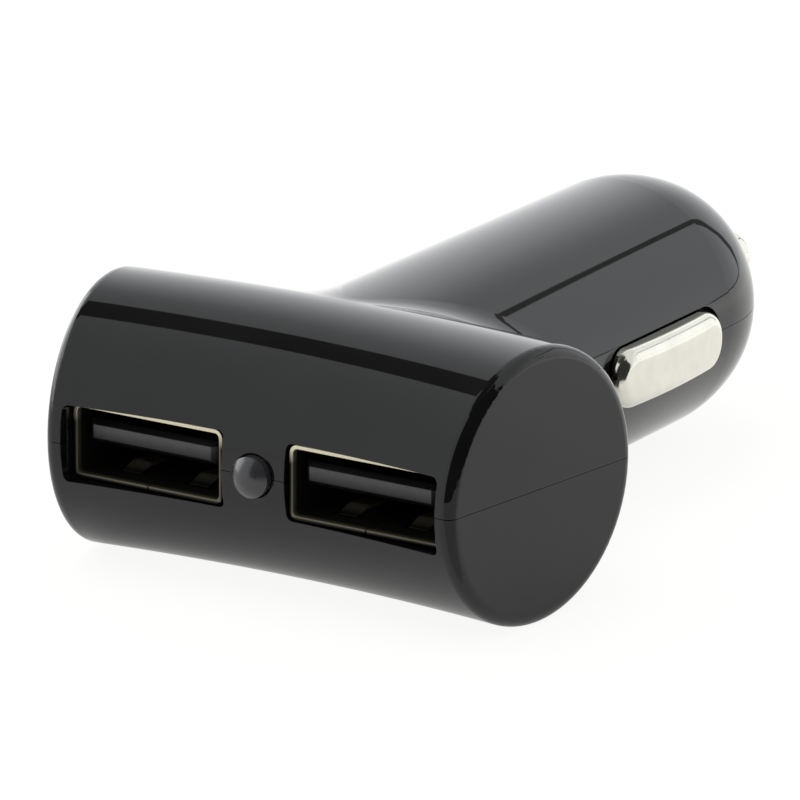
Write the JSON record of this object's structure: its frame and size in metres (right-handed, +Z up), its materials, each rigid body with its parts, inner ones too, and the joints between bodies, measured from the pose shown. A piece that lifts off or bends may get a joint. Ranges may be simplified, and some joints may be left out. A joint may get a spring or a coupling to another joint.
{
  "type": "car usb charger plug",
  "caption": "T-shaped glossy black car charger plug: bent round head with USB type A sockets and a small lamp, blended into a round barrel with sprung side contacts and a sprung tip.",
  "frame": {"origin": "on the barrel's axis, where the straight barrel leaves the head", "axes": "+X along the head, +Y along the barrel towards its tip, +Z up as it lies"},
  "size_m": [0.042, 0.0731, 0.0214],
  "materials": {
    "moulded_black": "moulded gloss",
    "nickel_plate": "bright plate",
    "socket_sheet": "plated sheet",
    "socket_moulding": "moulded satin",
    "socket_terminal": "plated strip",
    "smoked_lamp": "smoked clear",
    "tinned_lead": "tinned",
    "board_laminate": "solder mask",
    "spring_steel": "bright wire",
    "ferrite": "sintered",
    "copper_wire": "enamelled",
    "capacitor_can": "drawn can",
    "ceramic_tube": "glazed",
    "moulded_package": "moulded matt",
    "chip_ceramic": "fired"
  },
  "bodies": {
    "housing": {"centre_contact_spring": "spring_steel", "chip_capacitors": "chip_ceramic", "chip_resistors": "moulded_package", "choke_core": "ferrite", "choke_winding": "copper_wire", "circuit_board": "board_laminate", "converter_chip": "moulded_package", "converter_chip_legs": "tinned_lead", "fuse": "ceramic_tube", "indicator_lamp": "smoked_lamp", "input_capacitor": "capacitor_can", "lamp_leads": "tinned_lead", "left_contact_spring": "spring_steel", "left_usb_insulator": "socket_moulding", "left_usb_shell": "socket_sheet", "left_usb_terminals": "socket_terminal", "lower_shell": "moulded_black", "output_capacitor": "capacitor_can", "rectifier_diode": "moulded_package", "right_contact_spring": "spring_steel", "right_usb_insulator": "socket_moulding", "right_usb_shell": "socket_sheet", "right_usb_terminals": "socket_terminal", "spring_terminal": "tinned_lead", "upper_shell": "moulded_black"},
    "centre_contact": {"centre_contact": "nickel_plate"},
    "right_side_contact": {"right_side_contact": "nickel_plate"},
    "left_side_contact": {"left_side_contact": "nickel_plate"}
  },
  "joints": [
    {"name": "centre_contact_push", "type": "slide", "parent": "housing", "child": "centre_contact", "axis": [0, -1, 0], "range_m": [0, 0.0038], "stiffness_N_per_m": 1000, "deforming": ["centre_contact_spring"]},
    {"name": "right_side_contact_push", "type": "slide", "parent": "housing", "child": "right_side_contact", "axis": [-1, 0, 0], "range_m": [0, 0.0015], "stiffness_N_per_m": 600, "deforming": ["right_contact_spring"]},
    {"name": "left_side_contact_push", "type": "slide", "parent": "housing", "child": "left_side_contact", "axis": [1, 0, 0], "range_m": [0, 0.0015], "stiffness_N_per_m": 600, "deforming": ["left_contact_spring"]}
  ]
}
